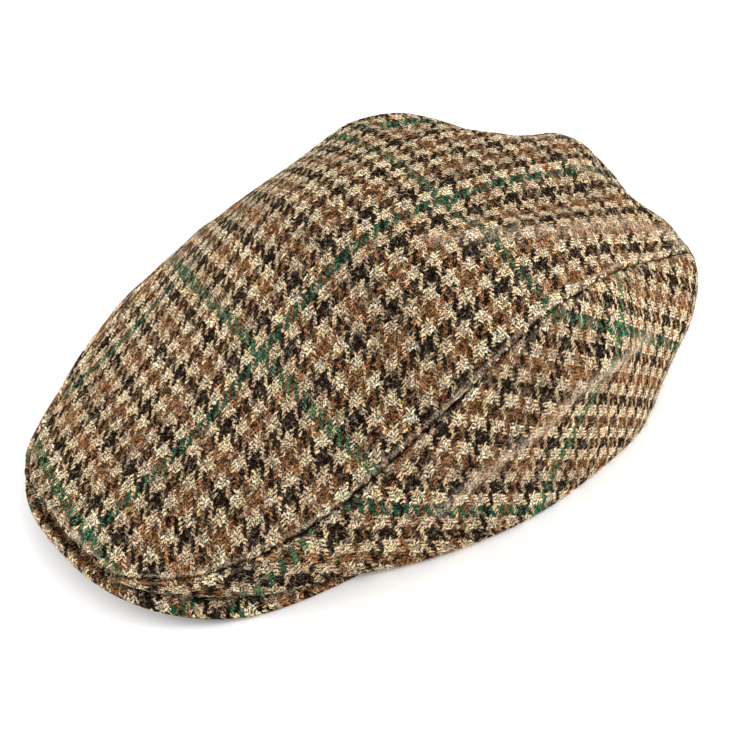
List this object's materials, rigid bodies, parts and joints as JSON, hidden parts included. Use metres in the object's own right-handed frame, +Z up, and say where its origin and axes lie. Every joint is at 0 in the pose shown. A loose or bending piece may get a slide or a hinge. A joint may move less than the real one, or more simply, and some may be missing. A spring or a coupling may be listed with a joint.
{
  "type": "flat cap",
  "caption": "Low cloth cap with a one-piece top panel sewn down onto a short stiff peak and two tapered side panels, hollow for the head.",
  "frame": {"origin": "middle of the footprint, at the level of the surface the cap rests on", "axes": "+Z up out of the crown, +Y to the back of the cap so the peak points to -Y, +X to the wearer's left"},
  "size_m": [0.1768, 0.2696, 0.1076],
  "materials": {
    "check_tweed": "woollen twill in a small check, slightly fuzzy",
    "peak_tweed": "the same woollen twill over a stiff board"
  },
  "bodies": {
    "root": {"crown_top": "check_tweed", "side_left": "check_tweed", "side_right": "check_tweed", "peak": "peak_tweed"}
  },
  "joints": []
}
